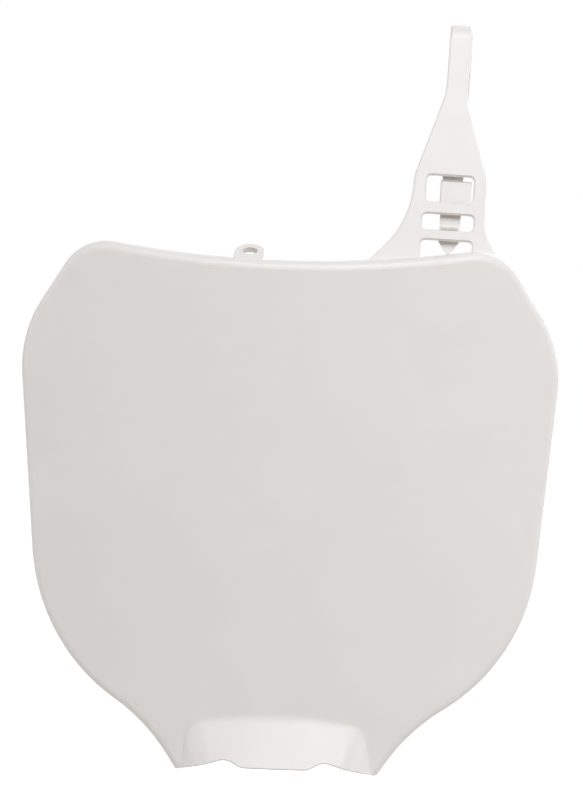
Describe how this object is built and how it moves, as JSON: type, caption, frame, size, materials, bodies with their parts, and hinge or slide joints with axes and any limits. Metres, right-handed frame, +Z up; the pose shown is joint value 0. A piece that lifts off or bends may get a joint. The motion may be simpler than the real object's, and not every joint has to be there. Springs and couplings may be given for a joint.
{
  "type": "racing number board",
  "caption": "Curved racing number board with a turned-back rim, a lower lip with a locating tab, an eyelet lug and a ladder strap folded over to hold a handlebar's crossbar.",
  "frame": {"origin": "centre of the bolt hole in the eyelet lug", "axes": "+Z up along the board, -Y forwards out of the face, +X to the right of someone facing the board"},
  "size_m": [0.2418, 0.0755, 0.3372],
  "materials": {
    "white_plastic": "satin"
  },
  "bodies": {
    "root": {"number_board": "white_plastic"}
  },
  "joints": []
}
